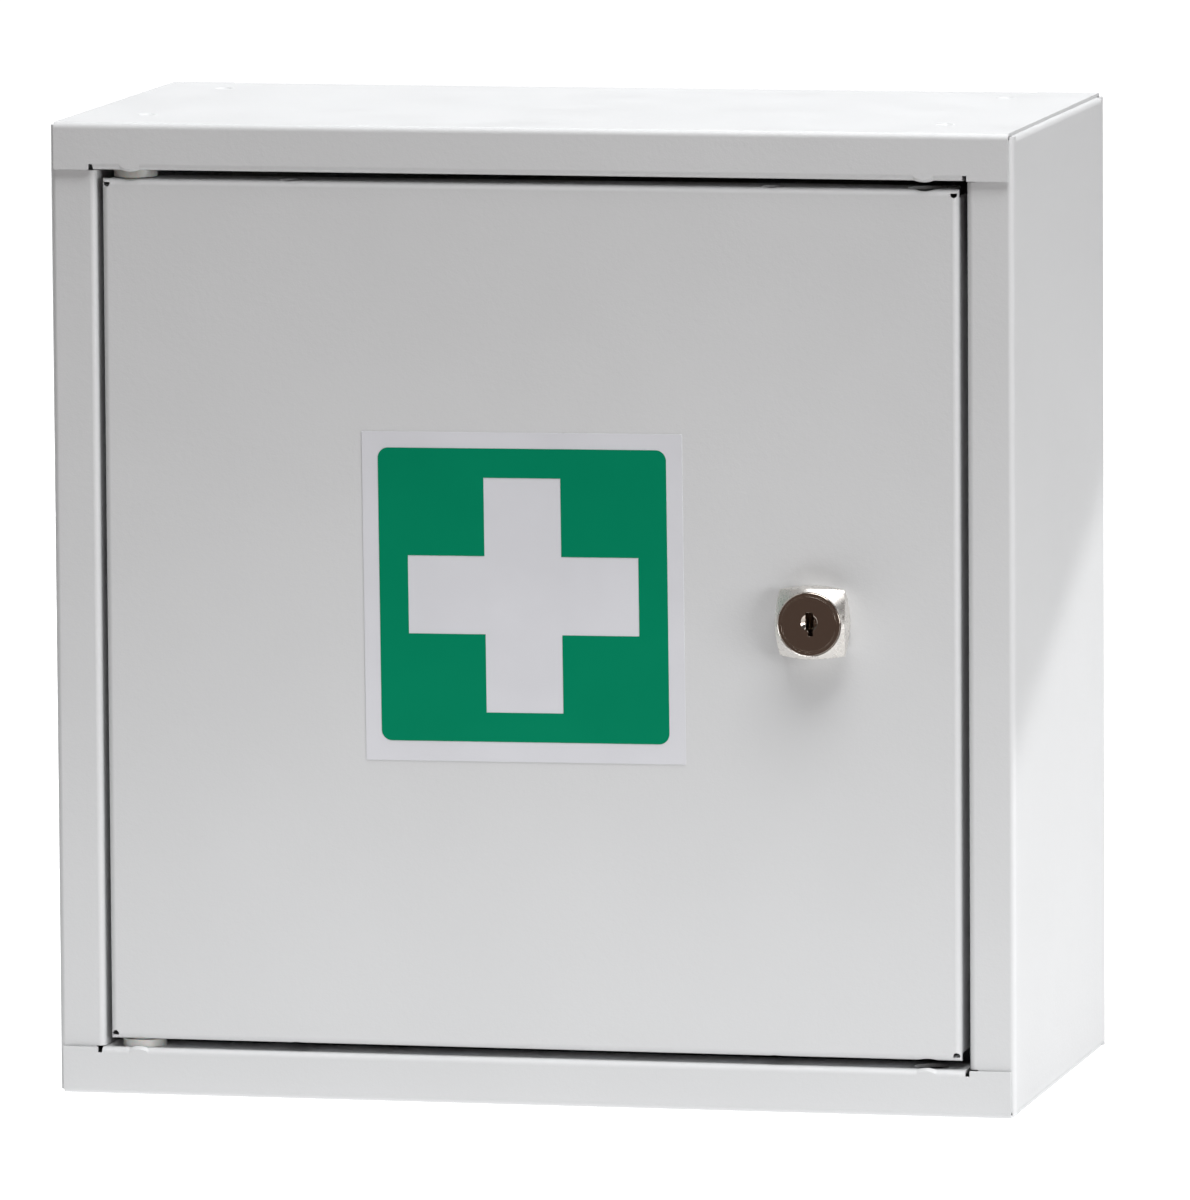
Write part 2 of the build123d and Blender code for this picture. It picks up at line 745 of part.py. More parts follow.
with BuildPart() as cam_screw:
    with BuildSketch(facing_front(lock_x, screw_seat_y, lock_z)):
        Circle(screw_d / 2)
    extrude(amount=screw_len)
    with BuildSketch(facing_back(lock_x, screw_seat_y, lock_z)):
        Circle(screw_head_d / 2)
    extrude(amount=screw_head_h)
    fillet(edges().sort_by(Axis.Y)[-1], radius=screw_head_h / 2)
    # Cross recess
    with BuildSketch(facing_front(lock_x, screw_seat_y + screw_head_h, lock_z)):
        for angle in (0, 90):
            Rectangle(screw_slot_len, screw_slot_w, rotation=angle)
    extrude(amount=screw_slot_depth, mode=Mode.SUBTRACT)

save(lock_cam, "lock_cam")
save(cam_washer, "cam_washer")
save(cam_screw, "cam_screw")

# ---------------------------------------------------------------- label
with BuildPart() as label_sticker:
    with BuildSketch(facing_front(label_x, door_y, label_z, label_tilt)):
        Rectangle(label_w, label_h)
    extrude(amount=label_t)

with BuildPart() as label_field:
    with BuildSketch(facing_front(label_x, door_y - label_t, label_z + field_up, label_tilt)):
        RectangleRounded(field_w, field_w, field_corner_r)
        for size in ((cross_w, cross_bar), (cross_bar, cross_w)):
            Rectangle(*size, mode=Mode.SUBTRACT)
    extrude(amount=field_t)

save(label_sticker, "label_sticker")
save(label_field, "label_field")
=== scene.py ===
import json
import math

import bmesh
import bpy
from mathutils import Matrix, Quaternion, Vector

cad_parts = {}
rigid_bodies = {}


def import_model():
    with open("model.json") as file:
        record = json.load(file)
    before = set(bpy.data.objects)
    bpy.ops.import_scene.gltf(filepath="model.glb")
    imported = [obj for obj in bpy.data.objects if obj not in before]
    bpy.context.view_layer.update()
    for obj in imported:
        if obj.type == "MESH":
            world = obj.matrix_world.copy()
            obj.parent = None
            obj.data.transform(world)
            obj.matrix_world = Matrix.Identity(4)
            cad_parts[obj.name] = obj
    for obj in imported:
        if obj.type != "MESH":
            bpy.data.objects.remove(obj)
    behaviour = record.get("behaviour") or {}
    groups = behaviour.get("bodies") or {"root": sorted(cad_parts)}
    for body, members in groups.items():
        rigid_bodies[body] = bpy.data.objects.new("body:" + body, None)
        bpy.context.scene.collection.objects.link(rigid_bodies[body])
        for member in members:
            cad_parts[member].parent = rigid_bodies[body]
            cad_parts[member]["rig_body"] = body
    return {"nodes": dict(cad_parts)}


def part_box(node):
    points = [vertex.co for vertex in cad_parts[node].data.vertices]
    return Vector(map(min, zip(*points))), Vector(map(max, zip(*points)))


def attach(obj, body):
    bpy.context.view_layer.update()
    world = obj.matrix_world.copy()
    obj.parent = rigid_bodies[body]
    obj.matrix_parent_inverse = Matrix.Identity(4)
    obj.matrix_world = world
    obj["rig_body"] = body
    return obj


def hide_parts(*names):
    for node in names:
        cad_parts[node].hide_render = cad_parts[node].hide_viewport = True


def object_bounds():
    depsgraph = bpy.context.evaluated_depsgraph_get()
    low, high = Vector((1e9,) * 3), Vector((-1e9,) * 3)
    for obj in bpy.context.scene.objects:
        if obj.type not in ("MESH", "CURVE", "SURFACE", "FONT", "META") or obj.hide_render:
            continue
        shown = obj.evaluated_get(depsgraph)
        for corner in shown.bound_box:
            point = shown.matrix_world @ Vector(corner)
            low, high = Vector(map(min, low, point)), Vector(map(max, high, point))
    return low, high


bl_info = {
    "name": "Medicine Cabinet Looks",
    "version": (1, 0, 0),
    "blender": (4, 5, 0),
    "location": "3D View > Sidebar > Cabinet",
    "description": "Surface finishes, soft edges and studio for the lockable medicine cabinet",
    "category": "Object",
}

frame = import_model()
cad_lo, cad_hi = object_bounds()
nodes = frame["nodes"]

MM = 0.001
PLAIN_WHITE = (1, 1, 1, 1)
plug_lo, plug_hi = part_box("lock_plug")
lock_centre = (plug_lo + plug_hi) / 2

# The photograph's camera, as an orbit round a point on the cabinet's front
aim_point = Vector((0.0203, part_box("top_panel")[0].y, 0.1563))
aim_azimuth, aim_elevation, aim_roll = 12.763, 6.917, 0.391
aim_distance = 4.224
camera_lens = 416.8


# ---------------------------------------------------------------- settings
class CoatingSettings(bpy.types.PropertyGroup):
    colour: bpy.props.FloatVectorProperty(
        name="Colour", description="Light grey of the powder coat", subtype="COLOR",
        size=3, min=0, max=1, default=(0.636, 0.643, 0.652),
    )
    roughness: bpy.props.FloatProperty(
        name="Roughness", description="Gloss of the coat, from mirror to chalk",
        min=0, max=1, default=0.46,
    )
    peel_size: bpy.props.FloatProperty(
        name="Peel Size", description="Width of one bump of the orange peel",
        unit="LENGTH", subtype="DISTANCE", default=1.7 * MM,
    )
    peel_depth: bpy.props.FloatProperty(
        name="Peel Depth", description="Height of the orange peel",
        unit="LENGTH", subtype="DISTANCE", default=0.045 * MM,
    )
    edge_radius: bpy.props.FloatProperty(
        name="Edge Radius", description="How round the coat leaves a cut edge",
        unit="LENGTH", subtype="DISTANCE", default=0.22 * MM,
    )


class LockSettings(bpy.types.PropertyGroup):
    head_colour: bpy.props.FloatVectorProperty(
        name="Head Colour", description="Satin nickel of the square head", subtype="COLOR",
        size=3, min=0, max=1, default=(0.86, 0.83, 0.79),
    )
    head_roughness: bpy.props.FloatProperty(
        name="Head Roughness", description="Gloss of the square head",
        min=0, max=1, default=0.28,
    )
    plug_colour: bpy.props.FloatVectorProperty(
        name="Plug Colour", description="Polished, slightly brown nickel of the round face",
        subtype="COLOR", size=3, min=0, max=1, default=(0.62, 0.55, 0.49),
    )
    plug_roughness: bpy.props.FloatProperty(
        name="Plug Roughness", description="Gloss of the round face",
        min=0, max=1, default=0.12,
    )
    edge_radius: bpy.props.FloatProperty(
        name="Edge Radius", description="Rounding of the metal edges",
        unit="LENGTH", subtype="DISTANCE", default=0.08 * MM,
    )


class LabelSettings(bpy.types.PropertyGroup):
    white: bpy.props.FloatVectorProperty(
        name="White", description="Film of the sticker and the cross", subtype="COLOR",
        size=3, min=0, max=1, default=(0.66, 0.665, 0.70),
    )
    green: bpy.props.FloatVectorProperty(
        name="Green", description="Printed field", subtype="COLOR",
        size=3, min=0, max=1, default=(0.001, 0.213, 0.106),
    )


def glow(name, description, strength):
    return bpy.props.FloatProperty(name=name, description=description, min=0, default=strength)


def power(name, description, watts):
    return bpy.props.FloatProperty(
        name=name, description=description, min=0, unit="POWER", default=watts,
    )


class StudioSettings(bpy.types.PropertyGroup):
    world_glow: glow("World", "Even light from all round", 0.09)
    table_glow: glow("Table Glow", "Light that the white table sends up", 0.05)
    under_glow: glow("Under Glow", "The same, under the cabinet", 1.3)
    near_glow: glow("Near Glow", "The same, close in front of the cabinet", 1.2)
    middle_glow: glow("Middle Glow", "The same, a little farther in front", 1.95)
    beside_glow: glow("Beside Glow", "The same, on both sides in front", 0.85)
    high_power: power("High Light", "Large soft light high up in front", 86.0)
    top_power: power("Top Light", "Large soft light over and behind the cabinet", 14.0)
    right_top_power: power("Right Top Light", "Soft light high up on the right", 4.2)
    right_power: power("Right Light", "Low soft light on the right, in front", 11.5)
    side_power: power("Side Light", "Low light on the right side", 5.9)
    left_power: power("Left Light", "Soft light on the left and behind, off the front", 32.0)


SETTINGS = {
    "cabinet_coating": CoatingSettings,
    "cabinet_lock": LockSettings,
    "cabinet_label": LabelSettings,
    "cabinet_studio": StudioSettings,
}


# ---------------------------------------------------------------- shader groups
def shader_group(name, inputs, outputs):
    """Empty node group with inputs (name, type, default) and outputs (name, type)."""
    group = bpy.data.node_groups.new(name, "ShaderNodeTree")
    for socket, kind, default in inputs:
        made = group.interface.new_socket(socket, in_out="INPUT", socket_type=kind)
        made.default_value = default
    for socket, kind in outputs:
        group.interface.new_socket(socket, in_out="OUTPUT", socket_type=kind)
    entry = group.nodes.new("NodeGroupInput")
    exit_ = group.nodes.new("NodeGroupOutput")
    return group, entry.outputs, exit_.inputs


def link(tree, a, b):
    tree.links.new(a, b)


def math_node(tree, operation, a, b=None):
    """Math node on links or plain numbers."""
    node = tree.nodes.new("ShaderNodeMath")
    node.operation = operation
    for socket, value in zip(node.inputs, (a, b)):
        if value is None:
            continue
        if isinstance(value, (int, float)):
            socket.default_value = value
        else:
            link(tree, value, socket)
    return node.outputs[0]


def noise(tree, vector, scale, detail=2.0, rough=0.5):
    """Noise with one feature per 1 / scale metres."""
    node = tree.nodes.new("ShaderNodeTexNoise")
    node.inputs["Detail"].default_value = detail
    node.inputs["Roughness"].default_value = rough
    if isinstance(scale, (int, float)):
        node.inputs["Scale"].default_value = scale
    else:
        link(tree, scale, node.inputs["Scale"])
    link(tree, vector, node.inputs["Vector"])
    return node.outputs["Fac"]


def orange_peel_group():
    """Rounded bumps of a sprayed coat, with a faint change of tone and gloss over the surface."""
    group, entry, exit_ = shader_group(
        "Orange Peel",
        [
            ("Vector", "NodeSocketVector", (0, 0, 0)),
            ("Size", "NodeSocketFloat", 0.001),
            ("Drift Size", "NodeSocketFloat", 0.1),
        ],
        [
            ("Height", "NodeSocketFloat"),
            ("Tone", "NodeSocketFloat"),
            ("Gloss", "NodeSocketFloat"),
        ],
    )
    place = entry["Vector"]
    grain_fineness, grain_share, gloss_fineness = 3.1, 0.7, 4.0
    scale = math_node(group, "DIVIDE", 1.0, entry["Size"])
    grain_scale = math_node(group, "MULTIPLY", scale, grain_fineness)
    drift = math_node(group, "DIVIDE", 1.0, entry["Drift Size"])
    gloss_drift = math_node(group, "MULTIPLY", drift, gloss_fineness)

    bumps = noise(group, place, scale, 1.5, 0.4)
    grains = noise(group, place, grain_scale, 1.0, 0.5)
    height = math_node(group, "ADD", bumps, math_node(group, "MULTIPLY", grains, grain_share))
    link(group, height, exit_["Height"])
    link(group, noise(group, place, drift, 3.0, 0.55), exit_["Tone"])
    link(group, noise(group, place, gloss_drift), exit_["Gloss"])
    return group


def turned_metal_group():
    """Fine lines round an axis and the small marks that handling leaves on bare metal."""
    group, entry, exit_ = shader_group(
        "Worked Metal",
        [
            ("Vector", "NodeSocketVector", (0, 0, 0)),
            ("Centre", "NodeSocketVector", (0, 0, 0)),
            ("Line Size", "NodeSocketFloat", 0.0002),
            ("Mark Size", "NodeSocketFloat", 0.004),
        ],
        [
            ("Lines", "NodeSocketFloat"),
            ("Marks", "NodeSocketFloat"),
        ],
    )
    away = group.nodes.new("ShaderNodeVectorMath")
    away.operation = "SUBTRACT"
    link(group, entry["Vector"], away.inputs[0])
    link(group, entry["Centre"], away.inputs[1])
    parts = group.nodes.new("ShaderNodeSeparateXYZ")
    link(group, away.outputs[0], parts.inputs[0])
    squares = [
        math_node(group, "MULTIPLY", parts.outputs[axis], parts.outputs[axis]) for axis in "XZ"
    ]
    radius = math_node(group, "SQRT", math_node(group, "ADD", *squares))
    rings = group.nodes.new("ShaderNodeCombineXYZ")
    link(group, radius, rings.inputs["X"])
    link(group, parts.outputs["Y"], rings.inputs["Y"])
    line_scale = math_node(group, "DIVIDE", 1.0, entry["Line Size"])
    link(group, noise(group, rings.outputs[0], line_scale, 3.0, 0.6), exit_["Lines"])
    mark_scale = math_node(group, "DIVIDE", 1.0, entry["Mark Size"])
    link(group, noise(group, entry["Vector"], mark_scale, 4.0, 0.6), exit_["Marks"])
    return group


# ---------------------------------------------------------------- materials
def new_material(name):
    """New material, with its tree and its Principled shader."""
    material = bpy.data.materials.new(name)
    material.use_nodes = True
    return material, material.node_tree, material.node_tree.nodes["Principled BSDF"]


def object_place(tree):
    return tree.nodes.new("ShaderNodeTexCoord").outputs["Object"]


def use_group(tree, name, maker, **values):
    """Places a shared group, made at its first use, over the object's own coordinates."""
    node = tree.nodes.new("ShaderNodeGroup")
    node.node_tree = bpy.data.node_groups.get(name) or maker()
    link(tree, object_place(tree), node.inputs["Vector"])
    for name, value in values.items():
        node.inputs[name.replace("_", " ")].default_value = value
    return node.outputs


def spread(tree, value, low, high):
    """Maps a noise value from its usual 0.3 to 0.7 onto low to high."""
    node = tree.nodes.new("ShaderNodeMapRange")
    ends = {"From Min": 0.3, "From Max": 0.7, "To Min": low, "To Max": high}
    for socket, end in ends.items():
        node.inputs[socket].default_value = end
    link(tree, value, node.inputs["Value"])
    return node.outputs[0]


def tint(tree, value, colour, low, high, shader):
    """Feeds Base Color with the colour, between low and high times its brightness."""
    node = tree.nodes.new("ShaderNodeMix")
    node.data_type = "RGBA"
    colours = [s for s in node.inputs if s.type == "RGBA"]
    for socket, share in zip(colours, (low, high)):
        socket.default_value = (*(min(1.0, c * share) for c in colour), 1)
    factor = next(s for s in node.inputs if s.name == "Factor" and s.type == "VALUE")
    link(tree, spread(tree, value, 0.0, 1.0), factor)
    link(tree, next(s for s in node.outputs if s.type == "RGBA"), shader.inputs["Base Color"])


def dull(tree, value, low, high, shader):
    """Feeds Roughness with values from low to high."""
    link(tree, spread(tree, value, low, high), shader.inputs["Roughness"])


def bump(tree, height, distance, shader, strength=1.0):
    node = tree.nodes.new("ShaderNodeBump")
    node.inputs["Strength"].default_value = strength
    node.inputs["Distance"].default_value = distance
    link(tree, height, node.inputs["Height"])
    link(tree, node.outputs[0], shader.inputs["Normal"])


def powder_coat_material(name):
    """Satin light grey powder coat with orange peel."""
    settings = bpy.context.scene.cabinet_coating
    gloss_change = 0.03
    material, tree, shader = new_material(name)
    peel = use_group(
        tree, "Orange Peel", orange_peel_group, Size=settings.peel_size, Drift_Size=90 * MM,
    )
    tint(tree, peel["Tone"], settings.colour, 0.985, 1.015, shader)
    dull(tree, peel["Gloss"], settings.roughness - gloss_change,
         settings.roughness + gloss_change, shader)
    shader.inputs["IOR"].default_value = 1.5
    bump(tree, peel["Height"], settings.peel_depth, shader)
    return material


def film_material(name, colour, roughness, gloss):
    """Printed vinyl film: smooth, with the coat's peel showing through faintly."""
    settings = bpy.context.scene.cabinet_coating
    peel_width, peel_share, gloss_change = 1.4, 0.4, 0.03
    material, tree, shader = new_material(name)
    peel = use_group(
        tree, "Orange Peel", orange_peel_group,
        Size=settings.peel_size * peel_width, Drift_Size=35 * MM,
    )
    tint(tree, peel["Tone"], colour, 0.97, 1.03, shader)
    dull(tree, peel["Gloss"], roughness - gloss_change, roughness + gloss_change, shader)
    shader.inputs["Specular IOR Level"].default_value = gloss
    bump(tree, peel["Height"], settings.peel_depth * peel_share, shader)
    return material


def moulded_material(name, colour, roughness, grain_size, subsurface=0.0):
    """Moulded plastic or rubber with a faint grain."""
    grain_depth, gloss_change = 0.02 * MM, 0.05
    material, tree, shader = new_material(name)
    grain = use_group(
        tree, "Orange Peel", orange_peel_group, Size=grain_size, Drift_Size=8 * MM,
    )
    tint(tree, grain["Tone"], colour, 0.95, 1.04, shader)
    dull(tree, grain["Gloss"], roughness - gloss_change, roughness + gloss_change, shader)
    if subsurface:
        shader.inputs["Subsurface Weight"].default_value = subsurface
        shader.inputs["Subsurface Scale"].default_value = 2 * MM
    bump(tree, grain["Height"], grain_depth, shader, 0.25)
    return material


def metal_material(name, colour, roughness, line_depth):
    """Bare or plated metal with turned lines and faint handling marks."""
    material, tree, shader = new_material(name)
    worked = use_group(
        tree, "Worked Metal", turned_metal_group,
        Centre=lock_centre, Line_Size=0.15 * MM, Mark_Size=1.2 * MM,
    )
    tint(tree, worked["Marks"], colour, 0.98, 1.01, shader)
    dull(tree, worked["Marks"], roughness * 0.93, roughness * 1.07, shader)
    shader.inputs["Metallic"].default_value = 1.0
    bump(tree, worked["Lines"], line_depth, shader, 0.3)
    return material


def finish(name, maker, *values):
    """Material by name, made at its first use."""
    return bpy.data.materials.get(name) or maker(name, *values)


def coat():
    return finish("powder_coat_grey", powder_coat_material)


def zinc():
    return finish("zinc_plate", metal_material, (0.66, 0.68, 0.70), 0.36, 0.002 * MM)


# ---------------------------------------------------------------- meshes
def soften(names, radius, material, angle=35.0):
    """Stands in for CAD nodes with the same meshes, edges sharper than angle rounded."""
    joined, flat = 0.002 * MM, 0.4
    for name in names:
        bm = bmesh.new()
        bm.from_mesh(nodes[name].data)
        bmesh.ops.remove_doubles(bm, verts=bm.verts, dist=joined)
        bmesh.ops.dissolve_limit(
            bm, angle_limit=math.radians(flat), verts=bm.verts, edges=bm.edges, delimit=set(),
        )
        sharp = [
            edge for edge in bm.edges
            if len(edge.link_faces) == 2 and edge.calc_face_angle(0) > math.radians(angle)
        ]
        bmesh.ops.bevel(
            bm, geom=sharp, offset=radius, offset_type="OFFSET", segments=2,
            profile=0.5, affect="EDGES", clamp_overlap=True,
        )
        for face in bm.faces:
            face.smooth = True
        mesh = bpy.data.meshes.new(f"{name}_soft")
        bm.to_mesh(mesh)
        bm.free()
        mesh.set_sharp_from_angle(angle=math.radians(angle + 15))
        mesh.materials.append(material)

        piece = bpy.data.objects.new(f"{name}_soft", mesh)
        bpy.context.scene.collection.objects.link(piece)
        weighted = piece.modifiers.new("Flat Faces", "WEIGHTED_NORMAL")
        weighted.keep_sharp = True
        weighted.weight = 80
        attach(piece, nodes[name]["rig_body"])
        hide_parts(name)


# ---------------------------------------------------------------- operators
class CABINET_OT_shell(bpy.types.Operator):
    """Coats the side, top, bottom and back panels and rounds their edges"""

    bl_idname = "cabinet.shell"
    bl_label = "Shell"

    def execute(self, context):
        panels = (
            "left_side_panel", "right_side_panel", "top_panel", "bottom_panel", "back_panel",
        )
        soften(panels, context.scene.cabinet_coating.edge_radius, coat())
        return {"FINISHED"}


class CABINET_OT_inside(bpy.types.Operator):
    """Coats the shelf, its rails and the keeper, and gives the buffers their soft pads"""

    bl_idname = "cabinet.inside"
    bl_label = "Shelf and Keeper"

    def execute(self, context):
        coated = ("shelf", "left_shelf_rail", "right_shelf_rail", "lock_keeper")
        soften(coated, context.scene.cabinet_coating.edge_radius, coat())
        pad = finish("pad_dark", moulded_material, (0.05, 0.05, 0.05), 0.6, 0.3 * MM)
        soften(("door_buffers",), 0.15 * MM, pad)
        return {"FINISHED"}


class CABINET_OT_door(bpy.types.Operator):
    """Coats the door and rounds its edges"""

    bl_idname = "cabinet.door"
    bl_label = "Door"

    def execute(self, context):
        radius = context.scene.cabinet_coating.edge_radius
        soften(("door_panel",), radius, coat())
        return {"FINISHED"}


class CABINET_OT_pivots(bpy.types.Operator):
    """Moulds the nylon bushes and pins that the door turns on"""

    bl_idname = "cabinet.pivots"
    bl_label = "Pivots"

    def execute(self, context):
        # The nylon grey is set darker than the lit lower bush shows. It is partly the nylon's own
        # colour and partly painted shade for the upper bush in its shaded gap.
        nylon = finish(
            "nylon_natural", moulded_material, (0.50, 0.50, 0.48), 0.42, 0.5 * MM, 0.3,
        )
        mouldings = (
            "upper_pivot_bush", "lower_pivot_bush", "upper_pivot_pin", "lower_pivot_pin",
        )
        soften(mouldings, 0.2 * MM, nylon)
        return {"FINISHED"}


class CABINET_OT_lock_head(bpy.types.Operator):
    """Finishes the lock's square head and barrel, its nut and toothed washer"""

    bl_idname = "cabinet.lock_head"
    bl_label = "Lock Head"

    def execute(self, context):
        settings = context.scene.cabinet_lock
        nickel = finish(
            "nickel_satin", metal_material,
            settings.head_colour, settings.head_roughness, 0.001 * MM,
        )
        soften(("lock_housing",), settings.edge_radius, nickel, angle=30.0)
        soften(("tooth_washer", "lock_nut"), settings.edge_radius, zinc())
        return {"FINISHED"}


class CABINET_OT_lock_core(bpy.types.Operator):
    """Finishes the turning plug with its wafers, springs, cam and screw"""

    bl_idname = "cabinet.lock_core"
    bl_label = "Lock Core"

    def execute(self, context):
        settings = context.scene.cabinet_lock
        plug = finish(
            "nickel_polished", metal_material,
            settings.plug_colour, settings.plug_roughness, 0.0008 * MM,
        )
        soften(("lock_plug",), settings.edge_radius, plug)
        brass = finish("wafer_brass", metal_material, (0.74, 0.56, 0.28), 0.30, 0.002 * MM)
        soften(("lock_wafers",), settings.edge_radius, brass)
        stamped = ("lock_cam", "cam_washer", "cam_screw")
        soften(stamped, settings.edge_radius * 1.5, zinc())
        for material_slot in nodes["wafer_springs"].material_slots:
            material_slot.material = zinc()
        return {"FINISHED"}


class CABINET_OT_label(bpy.types.Operator):
    """Finishes the white sticker and its printed green field"""

    bl_idname = "cabinet.label"
    bl_label = "Label"

    def execute(self, context):
        settings = context.scene.cabinet_label
        white = finish("film_white", film_material, settings.white, 0.42, 0.4)
        green = finish("print_green", film_material, settings.green, 0.38, 0.05)
        soften(("label_sticker",), 0.06 * MM, white)
        soften(("label_field",), 0.03 * MM, green)
        return {"FINISHED"}


# ---------------------------------------------------------------- studio
def soft_light(name, place, target, width, depth, watts):
    """Rectangular area light aimed at a point."""
    data = bpy.data.lights.new(name, "AREA")
    data.shape = "RECTANGLE"
    data.size, data.size_y = width, depth
    data.energy = watts
    light = bpy.data.objects.new(name, data)
    light.location = place
    light.rotation_euler = (Vector(target) - Vector(place)).to_track_quat("-Z", "Y").to_euler()
    light.visible_camera = False
    bpy.context.scene.collection.objects.link(light)


def flat_sheet(name, corners, material):
    """One flat face of the stage."""
    mesh = bpy.data.meshes.new(name)
    mesh.from_pydata(corners, [], [range(len(corners))])
    mesh.materials.append(material)
    sheet = bpy.data.objects.new(name, mesh)
    bpy.context.scene.collection.objects.link(sheet)
    return sheet


def card(name, corners, material):
    """Sheet that only reflections and bounced light see."""
    sheet = flat_sheet(name, corners, material)
    sheet.visible_camera = False
    sheet.visible_shadow = False


def table_card(name, left, right, back, front, material):
    """Level card just over the table."""
    height = cad_lo.z - 0.1 * MM
    places = ((left, front), (right, front), (right, back), (left, back))
    card(name, [(x, y, height) for x, y in places], material)


def glow_material(name, strength, colour=(1, 1, 1)):
    """Black card that gives an even light."""
    material, tree, shader = new_material(name)
    shader.inputs["Base Color"].default_value = (0.01, 0.01, 0.01, 1)
    shader.inputs["Roughness"].default_value = 1.0
    shader.inputs["Specular IOR Level"].default_value = 0.0
    shader.inputs["Emission Color"].default_value = (*colour, 1)
    shader.inputs["Emission Strength"].default_value = strength
    return material


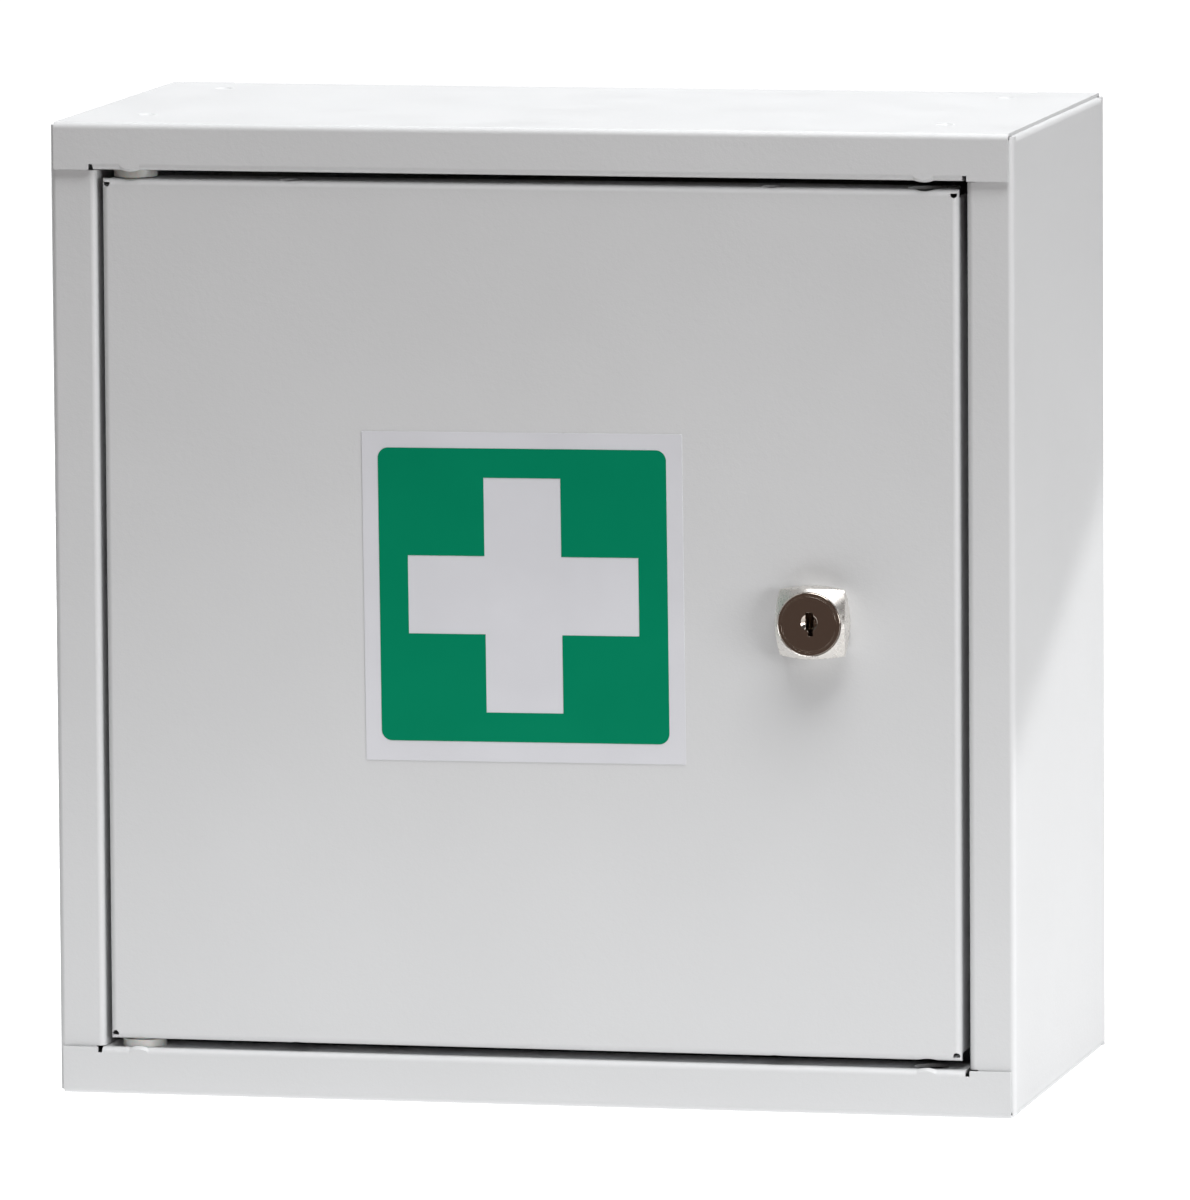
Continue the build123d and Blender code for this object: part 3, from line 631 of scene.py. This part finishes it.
class CABINET_OT_studio(bpy.types.Operator):
    """Sets up the pale table, the soft lights and the photograph's camera"""

    bl_idname = "cabinet.studio"
    bl_label = "Studio"

    def execute(self, context):
        scene = context.scene
        settings = scene.cabinet_studio
        self.backdrop(scene, settings)
        self.table(settings)
        self.lights(settings)
        self.camera(scene)
        scene.view_settings.view_transform = "Standard"
        return {"FINISHED"}

    def backdrop(self, scene, settings):
        """World that looks pure white and gives little light"""
        world = bpy.data.worlds.new("studio_world")
        world.use_nodes = True
        tree = world.node_tree
        light = tree.nodes["Background"]
        light.inputs["Color"].default_value = PLAIN_WHITE
        seen = tree.nodes.new("ShaderNodeLightPath").outputs["Is Camera Ray"]
        strength = math_node(tree, "MAXIMUM", seen, settings.world_glow)
        link(tree, strength, light.inputs["Strength"])
        scene.world = world

    def table(self, settings):
        """White table, brightest close in front of the cabinet, with the dark room beyond it"""
        white, tree, shader = new_material("floor_white")
        cloud_scale = 3.0
        tint(tree, noise(tree, object_place(tree), cloud_scale), (1, 1, 1), 0.60, 0.62, shader)
        shader.inputs["Roughness"].default_value = 0.9
        shader.inputs["Emission Color"].default_value = PLAIN_WHITE
        seen = tree.nodes.new("ShaderNodeLightPath").outputs["Is Camera Ray"]
        strength = math_node(tree, "MAXIMUM", seen, settings.table_glow)
        link(tree, strength, shader.inputs["Emission Strength"])
        far = 30.0
        floor = flat_sheet(
            "floor", [(-far, -far, 0), (far, -far, 0), (far, far, 0), (-far, far, 0)], white,
        )
        floor.location.z = cad_lo.z - 0.2 * MM

        # Distances in front of the cabinet (y), to the sides (x) and up, in metres
        front, near, middle, room_end = -0.08, -0.2, -0.35, -6.0
        inner, outer, room_side, wall_top = 0.22, 0.6, 4.0, 2.2
        under = glow_material("card_under", settings.under_glow)
        close = glow_material("card_near", settings.near_glow)
        farther = glow_material("card_middle", settings.middle_glow)
        beside = glow_material("card_beside", settings.beside_glow)
        dark = glow_material("studio_dark", 1.0, (0.088, 0.060, 0.048))
        table_card("under_card", cad_lo.x, cad_hi.x, cad_hi.y, front, under)
        table_card("near_card", -inner, inner, front, near, close)
        table_card("middle_card", -inner, inner, near, middle, farther)
        table_card("right_card", inner, outer, front, middle, beside)
        table_card("left_card", -outer, -inner, front, middle, beside)
        table_card("dark_floor", -room_side, room_side, middle, room_end, dark)
        ends = ((-room_side, 0), (room_side, 0), (room_side, wall_top), (-room_side, wall_top))
        card("dark_wall", [(x, room_end, z) for x, z in ends], dark)

    def lights(self, settings):
        """Soft lights round the cabinet, and a board in front of one of them"""
        middle = (cad_lo + cad_hi) / 2
        for name, place, target, width, depth, watts in (
            ("high_light", (0.6, -1.18, 3.2), middle, 2.6, 1.3, settings.high_power),
            ("top_light", (0.2, 0.5, 1.5), (0.2, 0.5, 0.0), 1.0, 2.0, settings.top_power),
            ("right_top_light", (1.0, 0.0, 1.5), middle, 0.9, 0.9, settings.right_top_power),
            ("right_light", (1.5, -1.0, 0.35), middle, 0.9, 0.6, settings.right_power),
            ("left_light", (-1.5, 1.2, 0.8), middle, 0.8, 0.8, settings.left_power),
            ("side_light", (1.5, 0.15, 0.12), (0.15, 0.0, 0.1), 0.1, 0.06, settings.side_power),
        ):
            soft_light(name, place, target, width, depth, watts)

        # The board keeps the side light off the upper part of the right side
        board_x, board_front, board_back, board_top = 0.5, -0.07, 0.3, 0.5
        low_front, low_back = 0.091, 0.251
        board = flat_sheet(
            "side_board",
            [
                (board_x, board_front, low_front), (board_x, board_back, low_back),
                (board_x, board_back, board_top), (board_x, board_front, board_top),
            ],
            bpy.data.materials["studio_dark"],
        )
        board.visible_camera = False

    def camera(self, scene):
        """Long lens on the photograph's side of the cabinet"""
        data = bpy.data.cameras.new("camera")
        data.lens = camera_lens
        data.sensor_width = 36.0
        data.clip_end = 100.0
        camera = bpy.data.objects.new("camera", data)
        scene.collection.objects.link(camera)
        around, up = math.radians(aim_azimuth), math.radians(aim_elevation)
        back = Vector((
            math.sin(around) * math.cos(up), -math.cos(around) * math.cos(up), math.sin(up),
        ))
        camera.location = aim_point + back * aim_distance
        turn = (-back).to_track_quat("-Z", "Y") @ Quaternion((0, 0, 1), math.radians(-aim_roll))
        camera.rotation_mode = "QUATERNION"
        camera.rotation_quaternion = turn
        scene.camera = camera


OPERATORS = (
    CABINET_OT_shell,
    CABINET_OT_inside,
    CABINET_OT_door,
    CABINET_OT_pivots,
    CABINET_OT_lock_head,
    CABINET_OT_lock_core,
    CABINET_OT_label,
    CABINET_OT_studio,
)


class CABINET_PT_sidebar(bpy.types.Panel):
    """Settings and makers of the cabinet's looks"""

    bl_label = "Medicine Cabinet"
    bl_idname = "CABINET_PT_sidebar"
    bl_space_type = "VIEW_3D"
    bl_region_type = "UI"
    bl_category = "Cabinet"

    def draw(self, context):
        for name, settings in SETTINGS.items():
            box = self.layout.box()
            for value in settings.__annotations__:
                box.prop(getattr(context.scene, name), value)
        for operator in OPERATORS:
            self.layout.operator(operator.bl_idname)


def register():
    for name, settings in SETTINGS.items():
        bpy.utils.register_class(settings)
        setattr(bpy.types.Scene, name, bpy.props.PointerProperty(type=settings))
    for made in (*OPERATORS, CABINET_PT_sidebar):
        bpy.utils.register_class(made)


def unregister():
    for made in reversed((*OPERATORS, CABINET_PT_sidebar)):
        bpy.utils.unregister_class(made)
    for name, settings in SETTINGS.items():
        delattr(bpy.types.Scene, name)
        bpy.utils.unregister_class(settings)


def main():
    """Makes the whole scene."""
    register()
    bpy.ops.cabinet.shell()
    bpy.ops.cabinet.inside()
    bpy.ops.cabinet.door()
    bpy.ops.cabinet.pivots()
    bpy.ops.cabinet.lock_head()
    bpy.ops.cabinet.lock_core()
    bpy.ops.cabinet.label()
    bpy.ops.cabinet.studio()


if __name__ == "__main__":
    main()
